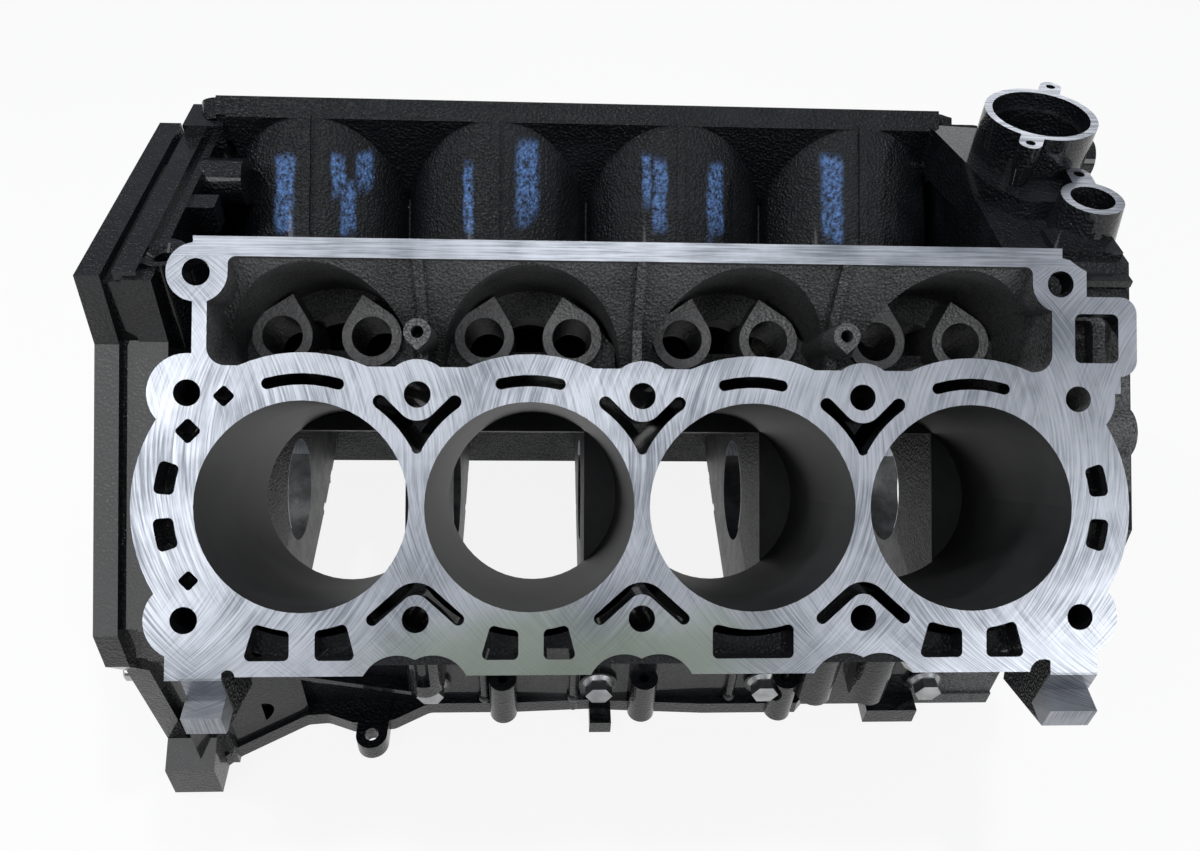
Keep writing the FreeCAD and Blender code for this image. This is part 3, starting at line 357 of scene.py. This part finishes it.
fittings = {
    "cap": {"dark": (0.05, 0.051, 0.053, 1), "light": (0.15, 0.153, 0.157, 1), "rough": 0.5, "metal": 0.4,
            "grain": 500.0, "depth": 0.00025},
    "bearing": {"dark": (0.5, 0.5, 0.48, 1), "light": (0.68, 0.67, 0.64, 1), "rough": 0.28, "metal": 1.0,
                "grain": 900.0, "depth": 0.00002},
    "plug": {"dark": (0.10, 0.105, 0.11, 1), "light": (0.2, 0.205, 0.21, 1), "rough": 0.4, "metal": 0.8,
             "grain": 700.0, "depth": 0.00004},
    "dowel": {"dark": (0.4, 0.4, 0.41, 1), "light": (0.55, 0.55, 0.56, 1), "rough": 0.25, "metal": 1.0,
              "grain": 900.0, "depth": 0.00001},
    "bolt": {"dark": (0.26, 0.27, 0.28, 1), "light": (0.45, 0.46, 0.47, 1), "rough": 0.38, "metal": 1.0,
             "grain": 800.0, "depth": 0.00005}}
handling = 60.0                             # cloudiness that all the fitted pieces share


def fittingMaterial(name):
    finish = fittings[name]
    material, graph = newMaterial(name + "Finish")
    grain = graph.noise(graph.place, finish["grain"], 3.0, 0.6)
    cloud = graph.noise(graph.place, handling, 4.0, 0.6)
    colour = graph.mix(graph.ease(cloud, 0.3, 0.7), finish["dark"], finish["light"])
    rough = graph.ease(grain, 0.2, 0.8, finish["rough"] - 0.06, finish["rough"] + 0.1)
    finishMaterial(graph, {"Metallic": finish["metal"]}, Base_Color=colour, Roughness=rough,
                   Normal=graph.bump(grain, finish["depth"]))
    return material


def dressNodes():
    slots = {part["node"]: part["material_slot"] for part in frame["record"]["subparts"]}
    finishes = {name: fittingMaterial(name) for name in fittings}
    finishes["block"] = castingMaterial()
    for name, node in frame["nodes"].items():
        node.data.materials.clear()
        node.data.materials.append(finishes[slots[name]])
    print("finishes on", len(frame["nodes"]), "nodes")


dressNodes()


# Floor, light and camera.

studio = {"floor": (0.86, 0.86, 0.86, 1), "floorReach": 3.0, "whiteShare": 0.88, "lowLight": 0.05,
          "highLight": 0.34, "lowest": -0.1, "highest": 0.85, "red": 0.96, "blue": 1.08,
          "aim": (0, 0, 0.12)}
lamps = {                                   # place, width in metres and power in watts
    "leftLamp": ((-1.2, -1.4, 1.4), 1.0, 10.0),
    "rightLamp": ((1.3, -1.7, 0.7), 0.8, 12.0),
    "frontLamp": ((0.1, -1.5, 1.9), 0.3, 2.5),
    "topLamp": ((0.25, -0.25, 2.1), 0.2, 14.0),
    "sideLamp": ((-1.1, 0.1, 1.6), 0.2, 9.0),
    "backLamp": ((0.85, 1.75, 1.15), 0.8, 3.5)}
camera = {"place": (-0.0381, -0.5301, 0.5690), "turn": (46.562, -2.326, -1.976), "lens": 31.19,
          "sensor": 36.0, "nearest": 0.01}


def makeFloor():
    low = cadBox[0][2]
    reach = studio["floorReach"]
    mesh = bpy.data.meshes.new("floor")
    mesh.from_pydata([(-reach, -reach, low), (reach, -reach, low), (reach, reach, low), (-reach, reach, low)],
                     [], [(0, 1, 2, 3)])
    floor = bpy.data.objects.new("floor", mesh)
    bpy.context.scene.collection.objects.link(floor)
    material, graph = newMaterial("floorPaper")
    seen = graph.add("ShaderNodeLightPath", output="Is Camera Ray")
    glossy = graph.add("ShaderNodeLightPath", output="Is Glossy Ray")
    paper = graph.add("ShaderNodeBsdfDiffuse", inputs={"Color": studio["floor"]})
    white = graph.add("ShaderNodeEmission", inputs={"Color": (1, 1, 1, 1), "Strength": 1.0})
    shown = graph.add("ShaderNodeMixShader", inputs={0: graph.larger(seen, glossy) * studio["whiteShare"],
                                                     1: paper, 2: white})
    output = graph.tree.nodes.new("ShaderNodeOutputMaterial")
    graph.tree.links.new(shown.socket, output.inputs[0])
    mesh.materials.append(material)


def makeWorld():
    world = bpy.data.worlds.new("studio")
    bpy.context.scene.world = world
    world.use_nodes = True
    graph = Graph(world.node_tree)
    seen = graph.add("ShaderNodeLightPath", output="Is Camera Ray")
    height = graph.split(graph.add("ShaderNodeTexCoord", output="Generated"))[2]
    light = graph.ease(height, studio["lowest"], studio["highest"], studio["lowLight"], studio["highLight"])
    tinted = graph.join(light * studio["red"], light, light * studio["blue"])
    shade = graph.mix(seen, tinted, (1, 1, 1, 1))
    back = graph.add("ShaderNodeBackground", inputs={"Color": shade})
    output = graph.tree.nodes.new("ShaderNodeOutputWorld")
    graph.tree.links.new(back.socket, output.inputs[0])


def makeLamps():
    aim = Vector(studio["aim"])
    for name, (place, width, power) in lamps.items():
        data = bpy.data.lights.new(name, "AREA")
        data.shape = "SQUARE"
        data.size = width
        data.energy = power
        lamp = bpy.data.objects.new(name, data)
        lamp.location = place
        lamp.rotation_euler = (aim - Vector(place)).to_track_quat("-Z", "Y").to_euler()
        bpy.context.scene.collection.objects.link(lamp)


def makeCamera():
    data = bpy.data.cameras.new("camera")
    data.lens = camera["lens"]
    data.sensor_width = camera["sensor"]
    data.clip_start = camera["nearest"]
    view = bpy.data.objects.new("camera", data)
    view.location = camera["place"]
    view.rotation_euler = [math.radians(angle) for angle in camera["turn"]]
    bpy.context.scene.collection.objects.link(view)
    bpy.context.scene.camera = view


makeFloor()
makeWorld()
makeLamps()
makeCamera()
bpy.context.scene.view_settings.view_transform = "Standard"
print("stage ready")
